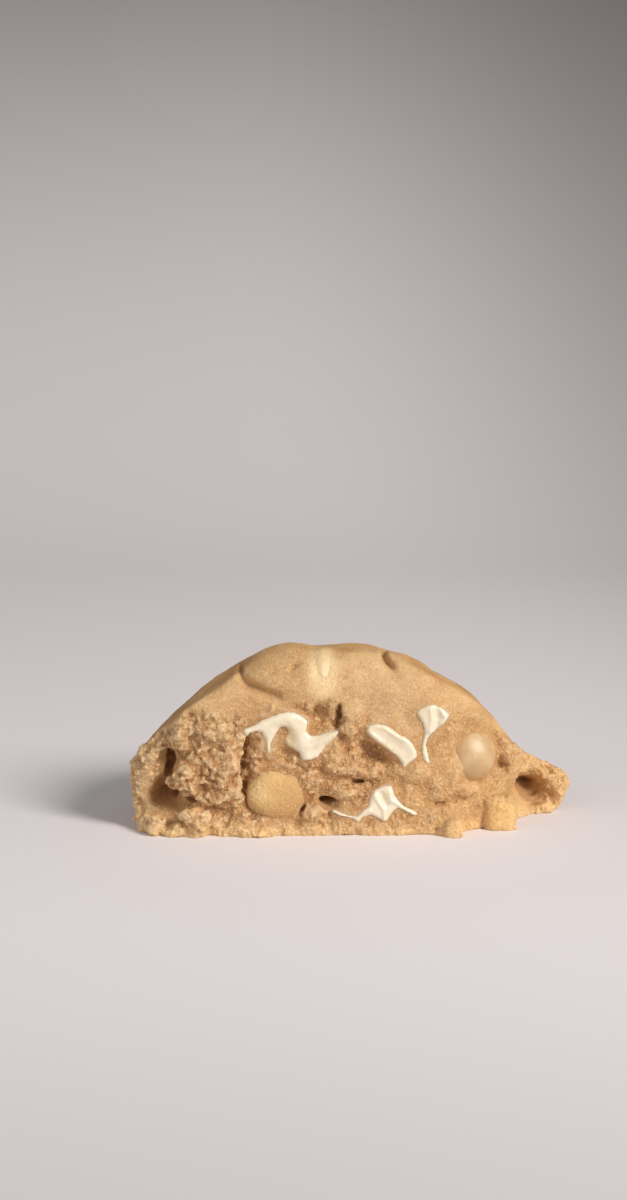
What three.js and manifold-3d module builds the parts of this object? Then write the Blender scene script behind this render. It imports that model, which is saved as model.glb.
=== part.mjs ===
// Half of a thick white chocolate macadamia cookie that was torn in two.
// Millimetres, +Z up. The torn face looks towards -Y and the flat underside lies on Z = 0.
// The origin is the middle of the outer box, at the underside.
// Sizes below are written in the frame of the baked cookie, and TO_ORIGIN moves them at the end.
import * as THREE from 'three';
import { mergeVertices } from 'three/addons/utils/BufferGeometryUtils.js';
import Module from 'manifold-3d';

const manifold = await Module();
manifold.setup();

// The baked cookie before it is torn: a round mound with its widest ring just above the underside
const TO_ORIGIN = new THREE.Vector3(0.05, 2.77, 0);
const AXIS_X = -5.2;
const AXIS_Y = -23;
const BASE_RADIUS = 41.8;
const RIM_RADIUS = 47.2;
const RIM_HEIGHT = 9;
const CROWN_HEIGHT = 42.6;
const RIM_ROUNDNESS = 0.95;
const CROWN_ROUNDNESS = 1.33;
const MOUND_SECTORS = 84;
const MOUND_RINGS = 17;
const UNDERCUT_RINGS = 4;

// Where the mound spread further: direction, height range and how quickly that fades out
const SPREADS = [
  { name: 'low lobe', angle: 0.44, halfAngle: 0.4, reach: 15.4, from: 0, to: 8.5, fade: 6.8 },
  { name: 'left shoulder', angle: 3.1, halfAngle: 0.5, reach: 2.2, from: 16, to: 20, fade: 5 },
];

// Soft lumps and dips of the crown: place in plan, radius and height
const CROWN_LUMPS = [
  { x: -17, y: -14, radius: 8, height: 2.2 },
  { x: 1, y: -13, radius: 6, height: 1.3 },
  { x: 13, y: -16, radius: 4, height: 1.4 },
  { x: -8, y: -17, radius: 3.5, height: -0.8 },
  { x: -27, y: 2, radius: 9, height: 1.6 },
  { x: 14, y: 4, radius: 10, height: 1.5 },
  { x: -6, y: 12, radius: 8, height: 1.2 },
  { x: 28, y: -8, radius: 6, height: 0.9 },
  { x: -32, y: -22, radius: 6, height: -1.3 },
];

// The tear, seen from above: how far back the torn face lies at each x
const TEAR_IN_PLAN = [
  [-53, -20], [-48, -24.5], [-41, -27.5], [-30, -28.2], [0, -27.3], [18, -27.6], [25, -24.8],
  [31, -20], [37, -16], [39.5, -9.5], [44, -6.8], [53, -3],
];

// Height at each x where the smooth crust ends and the torn crumb begins
const CRUST_EDGE = [
  [-53, 31], [-38, 31], [-33, 28.6], [-25, 27.3], [-19, 29.5], [-11, 32], [-4, 33], [10, 31.6],
  [22, 29.2], [31, 27.7], [53, 24],
];

// Crags and hollows of the torn face: place, half width, half height and how far they stand out.
// A negative depth goes into the dough.
const CRAGS = [
  { name: 'cavity, upper end', x: -42.4, z: 16.8, width: 2.2, height: 3.4, depth: -6.5 },
  { name: 'cavity, lower end', x: -43.2, z: 8.8, width: 3.8, height: 4.2, depth: -7.5 },
  { name: 'cavity, side hollow', x: -37.8, z: 7.6, width: 1.8, height: 1.8, depth: -3 },
  { name: 'chunk over the cavity', x: -39.6, z: 13.2, width: 2.4, height: 2.8, depth: 2.6 },
  { name: 'rim wall left of the cavity', x: -48.5, z: 12, width: 2, height: 6, depth: 1.2 },
  { name: 'lip under the cavity', x: -43, z: 1.8, width: 6, height: 2, depth: 2.4 },
  { name: 'pale lump beside the lip', x: -36.8, z: 4, width: 2.4, height: 3, depth: 1.8 },
  { name: 'shoulder above the cavity', x: -35, z: 22.5, width: 4.5, height: 3, depth: 1.2 },
  { name: 'ridge left of the long crack', x: -29, z: 14, width: 2.8, height: 6, depth: 1.5 },
  { name: 'foot below the left nut', x: -22, z: 1.4, width: 7, height: 1.8, depth: 2 },
  { name: 'gap at the foot of the nut', x: -11.8, z: 6.4, width: 1.3, height: 1.6, depth: -2.6 },
  { name: 'dark hole', x: -6.4, z: 8, width: 2.8, height: 1.3, depth: -4.2 },
  { name: 'hollow under the arch', x: -14.4, z: 22.6, width: 1.8, height: 2.2, depth: -1.6 },
  { name: 'hollow below the crust', x: -7.6, z: 28.4, width: 3, height: 2.8, depth: -2.2 },
  { name: 'lump in the middle', x: -0.4, z: 27, width: 3, height: 3, depth: 1.6 },
  { name: 'hollow under the slab', x: 5.2, z: 19, width: 3.6, height: 2.6, depth: -2.6 },
  { name: 'shelf in the middle', x: 3, z: 14.5, width: 7, height: 1.6, depth: 1.3 },
  { name: 'fissure under the shelf', x: 3, z: 12.1, width: 4.5, height: 0.9, depth: -2 },
  { name: 'bulge between slab and nut', x: 16, z: 13, width: 5, height: 4, depth: 0.9 },
  { name: 'crumb lump at the foot', x: 21.8, z: 2, width: 2.2, height: 2.8, depth: 2.4 },
  { name: 'fissure beside the lump', x: 17.4, z: 2.2, width: 1.8, height: 0.9, depth: -1.6 },
  { name: 'golden chunk', x: 33.6, z: 5.4, width: 2.8, height: 3.4, depth: 3 },
  { name: 'recess right of the nut', x: 34.4, z: 13.4, width: 2, height: 1.6, depth: -2.2 },
  { name: 'crag above the lobe', x: 36.5, z: 17.5, width: 2, height: 3, depth: 1.6 },
  { name: 'cavity of the lobe', x: 42, z: 6, width: 3.6, height: 2.8, depth: -5 },
];

// Creases and cracks: points in x and z on the torn face, half width and depth
const CREASES = [
  { name: 'crease of the left lump', points: [[-27, 37], [-24, 35], [-19.8, 33.6], [-17, 33]],
    width: 1.1, depth: -1.5 },
  { name: 'notch of the crown', points: [[6.2, 43], [7, 41], [8.8, 38.2]], width: 1, depth: -2.4 },
  { name: 'short crack of the crown', points: [[-15, 38.6], [-12.8, 40]], width: 0.7, depth: -1 },
  { name: 'long crack beside the left nut', points: [[-25, 21.5], [-24.8, 14], [-24.4, 8]],
    width: 0.8, depth: -2.4 },
  { name: 'crevice left of the middle lump', points: [[-3.8, 29.4], [-3.4, 25]],
    width: 0.8, depth: -2 },
];

// How the torn crumb and the crust are roughened, from coarse to fine
const TORN_GRAIN = [
  { wavelength: 8, height: 0.7 },
  { wavelength: 4, height: 0.75 },
  { wavelength: 2.2, height: 0.5 },
];
const CRUST_GRAIN = [
  { wavelength: 14, height: 1 },
  { wavelength: 6, height: 0.35 },
];
const CRUST_SHARE_OF_TORN_GRAIN = 0.2;
const CRUST_FADE = 1.5;
const ROUND_OVER_SHARE = 0.85;
const SMALLEST_ROUND_OVER = 1.8;
const FOOT_HEIGHT = 1.5;
const FOOT_CURVE = 0.4;
const GRAIN_SEED = 4217;
const CREST_Y = -18;

// The cutter that tears the cookie: a block in front of it with the torn face as its back
const CUTTER = { left: -62, right: 62, bottom: -3, top: 50, front: -60, step: 1.5 };

// Corners closer than this are one corner
const SAME_PLACE = 1e-4;

// Fillings keep this gap to the dough around them
const FILLING_GAP = 0.3;
const POCKET_FRONT = -40;
const POCKET_EDGE = 0.02;

// Whole macadamia kernels, centre and half sizes
const MACADAMIAS = [
  { name: 'macadamia_left', centre: [-18.2, -25, 9.6], halfSizes: [7.3, 5.2, 6.7], tilt: 0.1 },
  { name: 'macadamia_right', centre: [26.4, -20.6, 17.7], halfSizes: [6.4, 5.6, 6.9], tilt: -0.2 },
  { name: 'macadamia_crown', centre: [-7.2, -20.3, 36], halfSizes: [4.9, 6.2, 6.7], tilt: 0 },
];
const KERNEL_WOBBLE = 0.25;
const KERNEL_WAVELENGTH = 5;
const KERNEL_SECTORS = 20;
const KERNEL_RINGS = 12;

// Smears of soft white chocolate: outline in x and z, the face they lie on and their thickness
const CHOCOLATES = [
  { name: 'white_chocolate_arch', front: -28.9, thickness: 3, outline: [
    [-26, 25], [-24, 26], [-21.5, 27.5], [-19, 28.5], [-15.5, 29.5], [-12.5, 28.7], [-10.5, 27],
    [-11, 25], [-10.3, 24], [-8, 24], [-3.5, 25.2], [-4.2, 23.3], [-6.5, 21.3], [-8.5, 18.5],
    [-12, 18], [-13, 20], [-15, 21], [-16.2, 22.8], [-15.6, 25.2], [-16.8, 25.6], [-18, 24],
    [-19, 22], [-19.5, 19.4], [-20.3, 20], [-20.5, 22], [-21.5, 24.4], [-23.5, 24.5], [-25, 23.6],
  ] },
  { name: 'white_chocolate_slab', front: -28.7, thickness: 3, outline: [
    [2.4, 25], [3.2, 26.2], [5, 26.6], [8, 26], [10, 24.4], [12.5, 23], [13.7, 21.4], [14.6, 19],
    [13, 17.4], [11.3, 16], [10.5, 17.5], [9.4, 19], [6, 21.5], [3.6, 23.3],
  ] },
  { name: 'white_chocolate_square', front: -28.4, thickness: 3, outline: [
    [14, 29], [15.2, 30.2], [17.8, 31.2], [19.6, 30.5], [22, 28.5], [20, 26], [18, 24], [16.9, 22.6],
    [16.8, 20], [17.6, 17.6], [16.6, 16.6], [15.5, 18.5], [15.2, 21.5], [15.8, 24.2], [15.4, 26.6],
  ] },
  { name: 'white_chocolate_star', front: -28.7, thickness: 3, outline: [
    [-5.5, 6.2], [-2, 5.3], [0.5, 4.9], [1.7, 6.2], [3, 7.2], [3.4, 9], [4.6, 11], [6.6, 12],
    [8.6, 12.1], [9.6, 9.6], [11.2, 7.6], [14.6, 5.6], [14.2, 4.8], [11.6, 5.8], [10, 6.4],
    [8.6, 5.2], [7.4, 3.4], [5.6, 3.9], [4, 4.8], [2, 4.2], [1, 3], [-0.4, 4], [-3.5, 4.8],
  ] },
];
const CHOCOLATE_BEVEL = 0.25;

const DOUGH = new THREE.MeshStandardMaterial({ color: 0xc9995f, roughness: 0.85, metalness: 0 });
const KERNEL = new THREE.MeshStandardMaterial({ color: 0xdfbb82, roughness: 0.4, metalness: 0 });
const CHOCOLATE = new THREE.MeshStandardMaterial({ color: 0xefe3c4, roughness: 0.35, metalness: 0 });

// A fixed random value between -1 and 1 for each whole-number place
function latticeValue(i, j, k) {
  let mixed = Math.imul(i, 374761393) ^ Math.imul(j, 668265263) ^ Math.imul(k, 1442695041);
  mixed = Math.imul((mixed ^ GRAIN_SEED) ^ (mixed >>> 13), 1274126177);
  mixed = Math.imul(mixed ^ (mixed >>> 15), 2246822519);
  return ((mixed ^ (mixed >>> 16)) >>> 0) / 2147483647.5 - 1;
}

// Smooth noise between -1 and 1 that changes over one unit
function smoothNoise(x, y, z) {
  const [i, j, k] = [Math.floor(x), Math.floor(y), Math.floor(z)];
  const [u, v, w] = [x - i, y - j, z - k].map((t) => t * t * (3 - 2 * t));
  let sum = 0;
  for (const [di, dj, dk] of [[0, 0, 0], [1, 0, 0], [0, 1, 0], [1, 1, 0],
    [0, 0, 1], [1, 0, 1], [0, 1, 1], [1, 1, 1]]) {
    const weight = (di ? u : 1 - u) * (dj ? v : 1 - v) * (dk ? w : 1 - w);
    sum += weight * latticeValue(i + di, j + dj, k + dk);
  }
  return sum;
}

function layeredNoise(layers, x, y, z) {
  let sum = 0;
  for (const { wavelength, height } of layers) {
    sum += height * smoothNoise(x / wavelength, y / wavelength, z / wavelength);
  }
  return sum;
}

function bell(distance) {
  return Math.exp(-distance * distance);
}

// Height at x on a line of points, level beyond its ends
function alongLine(points, x) {
  if (x <= points[0][0]) {
    return points[0][1];
  }
  for (let i = 1; i < points.length; i += 1) {
    const [x0, y0] = points[i - 1];
    const [x1, y1] = points[i];
    if (x <= x1) {
      return y0 + (y1 - y0) * (x - x0) / (x1 - x0);
    }
  }
  return points[points.length - 1][1];
}

function distanceToLine(points, x, z) {
  let nearest = Infinity;
  for (let i = 1; i < points.length; i += 1) {
    const [ax, az] = points[i - 1];
    const [bx, bz] = points[i];
    const length = Math.hypot(bx - ax, bz - az);
    const share = ((x - ax) * (bx - ax) + (z - az) * (bz - az)) / (length * length);
    const held = THREE.MathUtils.clamp(share, 0, 1);
    nearest = Math.min(nearest, Math.hypot(ax + held * (bx - ax) - x, az + held * (bz - az) - z));
  }
  return nearest;
}

// A geometry as a solid to join or cut: corners merged, slivers of no width left out
function toSolid(geometry) {
  const bare = geometry.clone();
  bare.deleteAttribute('normal');
  bare.deleteAttribute('uv');
  const merged = mergeVertices(bare, SAME_PLACE);
  const corners = [];
  for (let i = 0; i < merged.index.count; i += 3) {
    const [a, b, c] = [merged.index.getX(i), merged.index.getX(i + 1), merged.index.getX(i + 2)];
    if (a !== b && b !== c && c !== a) {
      corners.push(a, b, c);
    }
  }
  const mesh = new manifold.Mesh({
    numProp: 3,
    vertProperties: Float32Array.from(merged.attributes.position.array),
    triVerts: Uint32Array.from(corners),
  });
  return new manifold.Manifold(mesh);
}

function toGeometry(solid) {
  const mesh = solid.getMesh();
  const geometry = new THREE.BufferGeometry();
  geometry.setAttribute('position', new THREE.BufferAttribute(mesh.vertProperties, 3));
  geometry.setIndex(new THREE.BufferAttribute(mesh.triVerts, 1));
  geometry.computeVertexNormals();
  return geometry;
}

function moveVertices(geometry, move) {
  const position = geometry.attributes.position;
  const vertex = new THREE.Vector3();
  for (let i = 0; i < position.count; i += 1) {
    vertex.fromBufferAttribute(position, i);
    move(vertex);
    position.setXYZ(i, vertex.x, vertex.y, vertex.z);
  }
  return geometry;
}

// Height of the mound above a point at this distance from its axis
function moundHeight(distance) {
  const share = Math.min(distance / RIM_RADIUS, 1);
  const rise = (1 - share ** (2 / RIM_ROUNDNESS)) ** (CROWN_ROUNDNESS / 2);
  return RIM_HEIGHT + (CROWN_HEIGHT - RIM_HEIGHT) * rise;
}

function moundProfile() {
  const points = [new THREE.Vector2(0, 0), new THREE.Vector2(BASE_RADIUS / 2, 0)];
  for (let i = 0; i < UNDERCUT_RINGS; i += 1) {
    const turn = (i / UNDERCUT_RINGS) * Math.PI / 2;
    points.push(new THREE.Vector2(
      BASE_RADIUS + (RIM_RADIUS - BASE_RADIUS) * Math.sin(turn),
      RIM_HEIGHT * (1 - Math.cos(turn)),
    ));
  }
  for (let i = 0; i < MOUND_RINGS; i += 1) {
    const turn = (i / MOUND_RINGS) * Math.PI / 2;
    points.push(new THREE.Vector2(
      RIM_RADIUS * Math.cos(turn) ** RIM_ROUNDNESS,
      RIM_HEIGHT + (CROWN_HEIGHT - RIM_HEIGHT) * Math.sin(turn) ** CROWN_ROUNDNESS,
    ));
  }
  points.push(new THREE.Vector2(0, CROWN_HEIGHT));
  return points;
}

// How far the mound is pushed out at a point, measured from its axis
function spreadReach(x, y, z) {
  let reach = 0;
  for (const spread of SPREADS) {
    const turn = Math.abs(Math.atan2(y, x) - spread.angle);
    const aside = Math.min(turn, 2 * Math.PI - turn) / spread.halfAngle;
    const away = Math.max(spread.from - z, z - spread.to, 0) / spread.fade;
    reach += spread.reach * bell(aside) * bell(away);
  }
  return reach;
}

function crownRise(x, y) {
  let rise = 0;
  for (const lump of CROWN_LUMPS) {
    rise += lump.height * bell(Math.hypot(x - lump.x, y - lump.y) / lump.radius);
  }
  return rise;
}

function shapeMound(vertex) {
  const out = Math.hypot(vertex.x, vertex.y);
  const outShare = out / RIM_RADIUS;
  const upShare = THREE.MathUtils.clamp(vertex.z / RIM_HEIGHT, 0, 1);
  const grain = layeredNoise(CRUST_GRAIN, vertex.x, vertex.y, vertex.z);
  if (out > 0) {
    const pushed = spreadReach(vertex.x, vertex.y, vertex.z) * outShare ** 3 + grain * outShare;
    vertex.x *= 1 + pushed / out;
    vertex.y *= 1 + pushed / out;
  }
  vertex.x += AXIS_X;
  vertex.y += AXIS_Y;
  const rise = grain * (1 - outShare) + crownRise(vertex.x, vertex.y);
  vertex.z += rise * upShare ** 2;
}

function bakedMound() {
  const mound = new THREE.LatheGeometry(moundProfile(), MOUND_SECTORS);
  mound.rotateX(Math.PI / 2);
  return toSolid(moveVertices(mound, shapeMound));
}

// How far back the torn face lies at a point seen from the front
function tornFace(x, z) {
  const top = moundHeight(Math.abs(x - AXIS_X)) + crownRise(x, CREST_Y);
  const edge = Math.min(alongLine(CRUST_EDGE, x), top - SMALLEST_ROUND_OVER);
  const overEdge = THREE.MathUtils.clamp((z - edge) / (top - edge), 0, 1);
  const roundOver = ROUND_OVER_SHARE * (top - edge) * (1 - Math.sqrt(1 - overEdge * overEdge));
  const crust = THREE.MathUtils.smoothstep(z, edge - CRUST_FADE, edge + CRUST_FADE);
  const roughness = 1 - crust * (1 - CRUST_SHARE_OF_TORN_GRAIN);
  let outward = roughness * layeredNoise(TORN_GRAIN, x, 0, z);
  for (const crag of CRAGS) {
    outward += crag.depth * bell(Math.hypot((x - crag.x) / crag.width, (z - crag.z) / crag.height));
  }
  for (const crease of CREASES) {
    outward += crease.depth * bell(distanceToLine(crease.points, x, z) / crease.width);
  }
  const foot = Math.max(FOOT_HEIGHT - z, 0);
  return alongLine(TEAR_IN_PLAN, x) + roundOver - outward + FOOT_CURVE * foot * foot;
}

function tearCutter() {
  const width = CUTTER.right - CUTTER.left;
  const height = CUTTER.top - CUTTER.bottom;
  const block = new THREE.BoxGeometry(
    width, 1, height, Math.round(width / CUTTER.step), 1, Math.round(height / CUTTER.step),
  );
  block.translate((CUTTER.left + CUTTER.right) / 2, 0, (CUTTER.bottom + CUTTER.top) / 2);
  return toSolid(moveVertices(block, (vertex) => {
    vertex.y = vertex.y > 0 ? tornFace(vertex.x, Math.max(vertex.z, 0)) : CUTTER.front;
  }));
}

// A macadamia kernel, or the pocket around it when grown by the gap
function kernelGeometry({ centre, halfSizes }, growth) {
  const kernel = new THREE.SphereGeometry(1, KERNEL_SECTORS, KERNEL_RINGS);
  return moveVertices(kernel, (vertex) => {
    const along = vertex.clone().multiply(new THREE.Vector3(...halfSizes));
    const wobble = smoothNoise(
      (along.x + centre[0]) / KERNEL_WAVELENGTH,
      along.y / KERNEL_WAVELENGTH,
      (along.z + centre[2]) / KERNEL_WAVELENGTH,
    );
    vertex.copy(along.addScaledVector(vertex, growth + KERNEL_WOBBLE * wobble));
  });
}

function kernelMesh(kernel, growth) {
  const mesh = new THREE.Mesh(kernelGeometry(kernel, growth), KERNEL);
  mesh.name = kernel.name;
  mesh.position.set(...kernel.centre);
  mesh.rotation.y = kernel.tilt;
  return mesh;
}

// The smear's outline as a smooth closed curve
function smearShape(outline) {
  const curve = new THREE.CatmullRomCurve3(
    outline.map(([x, z]) => new THREE.Vector3(x, z, 0)), true, 'centripetal',
  );
  const count = outline.length * 2;
  const points = [];
  for (let i = 0; i < count; i += 1) {
    const point = curve.getPoint(i / count);
    points.push(new THREE.Vector2(point.x, point.y));
  }
  return new THREE.Shape(points);
}

function smearMesh(smear) {
  const geometry = new THREE.ExtrudeGeometry(smearShape(smear.outline), {
    depth: smear.thickness - CHOCOLATE_BEVEL * 2,
    bevelThickness: CHOCOLATE_BEVEL,
    bevelSize: CHOCOLATE_BEVEL,
    bevelOffset: -CHOCOLATE_BEVEL,
    bevelSegments: 1,
  });
  const mesh = new THREE.Mesh(geometry, CHOCOLATE);
  mesh.name = smear.name;
  mesh.rotation.x = Math.PI / 2;
  mesh.position.y = smear.front + smear.thickness - CHOCOLATE_BEVEL;
  return mesh;
}

// A smear's pocket is its outline grown by the gap, open to the front
function smearPocket(smear) {
  const back = smear.front + smear.thickness + FILLING_GAP;
  const pocket = new THREE.ExtrudeGeometry(smearShape(smear.outline), {
    depth: back - POCKET_FRONT,
    bevelThickness: POCKET_EDGE,
    bevelSize: 0,
    bevelOffset: FILLING_GAP,
    bevelSegments: 1,
  });
  pocket.rotateX(Math.PI / 2);
  pocket.translate(0, back, 0);
  return toSolid(pocket);
}

function kernelPocket(kernel) {
  const mesh = kernelMesh(kernel, FILLING_GAP);
  mesh.updateMatrixWorld();
  return toSolid(mesh.geometry.clone().applyMatrix4(mesh.matrixWorld));
}

// Tearing and cutting can leave loose crumbs, so only the largest piece is kept
function largestPiece(solid) {
  const pieces = solid.decompose();
  return pieces.reduce((largest, piece) => (piece.volume() > largest.volume() ? piece : largest));
}

function doughMesh() {
  let dough = bakedMound().subtract(tearCutter());
  for (const kernel of MACADAMIAS) {
    dough = dough.subtract(kernelPocket(kernel));
  }
  for (const smear of CHOCOLATES) {
    dough = dough.subtract(smearPocket(smear));
  }
  const mesh = new THREE.Mesh(toGeometry(largestPiece(dough)), DOUGH);
  mesh.name = 'cookie';
  return mesh;
}

const group = new THREE.Group();
group.position.copy(TO_ORIGIN);
group.add(doughMesh());
for (const kernel of MACADAMIAS) {
  group.add(kernelMesh(kernel, 0));
}
for (const smear of CHOCOLATES) {
  group.add(smearMesh(smear));
}

export default group;
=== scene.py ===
"""Half of a thick white chocolate macadamia cookie, torn upright, on a plain pale floor.

Lengths named in millimetres are turned into metres by MM. Places on the torn face are given
as they are seen from the front: x to the right, y into the cookie, z up from the floor.
"""
import math

import bpy
import numpy as np
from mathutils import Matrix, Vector, noise
from mathutils.bvhtree import BVHTree
from mathutils.kdtree import KDTree


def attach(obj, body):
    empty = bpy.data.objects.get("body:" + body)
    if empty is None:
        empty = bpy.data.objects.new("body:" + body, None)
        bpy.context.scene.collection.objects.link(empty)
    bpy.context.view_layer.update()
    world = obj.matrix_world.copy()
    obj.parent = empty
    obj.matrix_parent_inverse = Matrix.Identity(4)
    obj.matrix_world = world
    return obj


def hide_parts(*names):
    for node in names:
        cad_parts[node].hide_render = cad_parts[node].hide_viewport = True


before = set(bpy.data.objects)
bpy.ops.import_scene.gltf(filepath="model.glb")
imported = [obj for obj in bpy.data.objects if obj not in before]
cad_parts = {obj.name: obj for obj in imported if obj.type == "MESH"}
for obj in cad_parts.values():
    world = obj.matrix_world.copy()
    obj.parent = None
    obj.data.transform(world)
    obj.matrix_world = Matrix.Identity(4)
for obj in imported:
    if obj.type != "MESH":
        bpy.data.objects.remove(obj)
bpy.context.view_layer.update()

MM = 0.001
SEED = 7

# The voxels that each form is rebuilt from, in millimetres
CORE_VOXEL = 0.5
LUMPS_VOXEL = 0.4
CARVED_VOXEL = 0.32
RELIEF_VOXEL = 0.25
KERNEL_VOXEL = 0.3
SMEAR_VOXEL = 0.15

# How many rounds of smoothing leave only the broad shape of a surface
BROAD_ROUNDS = 12
RELIEF_ROUNDS = 60
FINISHED_ROUNDS = 80

DOUGH_TRIANGLES = 190000

# Sockets of Blender's nodes that go by number
OBJECT_PLACE = 3
ATTRIBUTE_VALUE = 2
VECTOR_LENGTH = 1
MIX_SHARE, MIX_LOW, MIX_HIGH, MIX_COLOUR = 0, 6, 7, 2
SMALLEST_NUMBER, LARGEST_NUMBER, RANDOM_NUMBER = 2, 3, 1
LARGEST_VECTOR = 1

# The cookie was shaped round this place, which lies here in the frame of the whole model
FACE_ORIGIN = np.array((0.05, 2.77, 0.0))

# Where the torn crumb ends and the smooth crust begins: x and z on the torn face
CRUST_EDGE_X = (-53, -42, -37, -33, -25, -19, -11, -6, -3, 2.5, 9, 13, 15.5, 18, 22, 25, 29, 32, 53)
CRUST_EDGE_Z = (26, 26, 29.8, 28.6, 27.3, 29.5, 31.5, 31, 29.5, 28, 25, 23, 20.5, 23, 27.6, 28.5,
                26.5, 25, 22)

# Where the tear runs, seen from above: x and y
TEAR_LINE_X = (-53, -48, -41, -30, 0, 18, 25, 31, 37, 39.5, 44, 53)
TEAR_LINE_Y = (-20, -24.5, -27.5, -28.2, -27.3, -27.6, -24.8, -20, -16, -9.5, -6.8, -3)

# Lumps of crumb on the torn face: x, z, how far each stands out, half its width, depth and
# height, and its turn in degrees
LUMPS = {
    "chunk over the left cavity": (-39.3, 14.2, 2.2, 2.0, 2.6, 3.2, 10),
    "beak of that chunk": (-41.4, 11.6, 1.8, 2.3, 1.7, 1.5, -20),
    "foot of that chunk": (-37.6, 12.0, 1.6, 1.5, 1.8, 1.7, 0),
    "pale lump right of the cavity": (-36.8, 4.7, 1.8, 2.6, 2.6, 2.3, 10),
    "left end of the bottom lip": (-45.4, 2.8, 1.6, 2.6, 2.2, 2.1, 20),
    "bottom lip": (-41.2, 2.0, 1.6, 2.6, 2.4, 1.7, -10),
    "crumb left of the crack": (-28.6, 16.4, 1.0, 2.6, 1.8, 3.6, 12),
    "crumb below it": (-30.4, 9.2, 0.8, 2.4, 1.6, 1.6, -30),
    "crumb under the crust": (-30.4, 25.4, 1.0, 1.6, 1.8, 1.3, 10),
    "crumb at the left shoulder": (-40.6, 24.2, 0.8, 2.2, 1.8, 1.5, 35),
    "crumb at the crust edge": (-34.2, 28.6, 0.9, 2.2, 1.4, 1.2, 0),
    "crumb beside the arch": (-26.4, 22.8, 0.9, 1.3, 1.2, 1.6, 0),
    "ledge under the dark hole": (-9.4, 4.6, 1.4, 3.8, 2.2, 2.1, 8),
    "lump right of the arch": (-0.8, 26.0, 1.4, 2.8, 2.2, 2.4, -12),
    "crumb over the fissure": (-3.6, 15.6, 1.0, 2.8, 1.8, 1.7, 8),
    "ledge over the star": (-2.0, 10.2, 1.0, 2.8, 1.8, 1.3, 0),
    "crumb right of the slab": (14.4, 14.8, 0.8, 3.0, 1.8, 2.3, -15),
    "crumb over the square": (27.0, 27.4, 0.9, 2.2, 1.8, 1.6, 20),
    "crumb under the right kernel": (25.4, 10.4, 1.1, 3.6, 2.2, 1.9, 0),
    "crumb on the right shoulder": (34.4, 20.4, 0.8, 2.0, 2.0, 1.8, 30),
    "crumb lower on the shoulder": (37.2, 17.4, 0.8, 1.6, 2.0, 1.5, 0),
    "rim of the lobe": (47.0, 9.6, 1.2, 2.6, 2.4, 2.4, 40),
    "round end of the lobe": (49.4, 5.6, 0.9, 1.8, 2.0, 2.6, 0),
    "foot of the lobe": (44.6, 1.8, 1.0, 3.4, 2.0, 1.4, -10),
    "crumb over the lobe cavity": (43.8, 10.8, 1.2, 1.4, 1.6, 1.0, -20),
}

# Blocks of dough that broke square, in the same columns
BLOCKS = {
    "golden chunk": (34.4, 4.0, 3.6, 3.7, 3.6, 4.4, -6),
    "crumb lump at the floor": (22.9, 1.7, 2.6, 2.2, 2.6, 2.7, -4),
}

# Holes in the torn face: x, z, half the width, depth and height, and the turn in degrees
HOLES = {
    "upper mouth of the left cavity": (-42.4, 17.6, 1.3, 5.0, 2.4, -6),
    "throat of the left cavity": (-43.2, 14.6, 1.0, 5.0, 2.4, 14),
    "heart of the left cavity": (-42.2, 9.2, 1.3, 5.0, 2.2, -24),
    "hollow behind the pale lump": (-38.2, 8.4, 2.4, 4.2, 1.0, 8),
    "dark hole": (-6.3, 8.3, 2.8, 4.6, 0.9, 4),
    "gap at the foot of the left kernel": (-12.2, 5.6, 0.5, 3.0, 1.7, 35),
    "fissure in the middle": (1.0, 12.6, 3.4, 1.5, 0.5, 2),
    "fissure low on the right": (20.2, 7.3, 2.4, 1.3, 0.6, -8),
    "gap over the lump at the floor": (19.4, 2.4, 1.2, 1.6, 0.6, -30),
    "pit right of the arch": (-5.4, 16.6, 1.0, 1.2, 0.4, 10),
    "pit under the slab": (1.2, 17.4, 0.6, 1.0, 0.6, 10),
}

# Soft dents in the torn face: x, z, depth, half the width and height, and the turn in degrees
DENTS = {
    "valley round the left cavity": (-42.6, 8.6, 3.8, 3.0, 4.4, 4),
    "slope left of that valley": (-46.0, 10.0, 1.2, 2.6, 6.0, 0),
    "foot of that valley": (-40.4, 5.6, 2.4, 2.2, 1.8, -30),
    "pocket under the arch": (-15.8, 19.0, 1.2, 2.0, 1.4, -30),
    "recess under the crust": (-7.6, 28.0, 1.4, 3.2, 2.0, 20),
    "recess under the slab": (2.4, 19.6, 1.4, 3.6, 2.0, 40),
    "recess left of the slab": (-2.4, 20.4, 1.2, 2.4, 1.4, 60),
    "recess right of the kernel": (34.6, 14.0, 1.3, 2.4, 2.6, 0),
    "recess over the golden chunk": (37.4, 10.6, 1.6, 2.2, 1.6, 20),
    "recess over the left foot": (-31.6, 5.8, 1.2, 2.4, 1.1, 10),
    "recess at the left shoulder": (-37.2, 21.4, 1.2, 2.4, 1.5, 25),
    "hollow over the fissure": (2.0, 13.6, 1.2, 4.2, 1.3, 4),
    "hollow low on the right": (21.6, 7.6, 1.2, 4.0, 1.1, -8),
    "lobe cavity": (41.4, 6.0, 4.8, 4.4, 2.4, 8),
    "back of the lobe cavity": (39.8, 7.0, 3.4, 3.2, 1.8, 8),
}

# How rough the torn dough is from left to right: x and share
ROUGHNESS_X = (-53, -30, -12, 4, 12, 30, 36, 53)
ROUGHNESS_SHARE = (1.0, 0.9, 0.7, 0.7, 0.36, 0.34, 0.5, 0.55)

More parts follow.
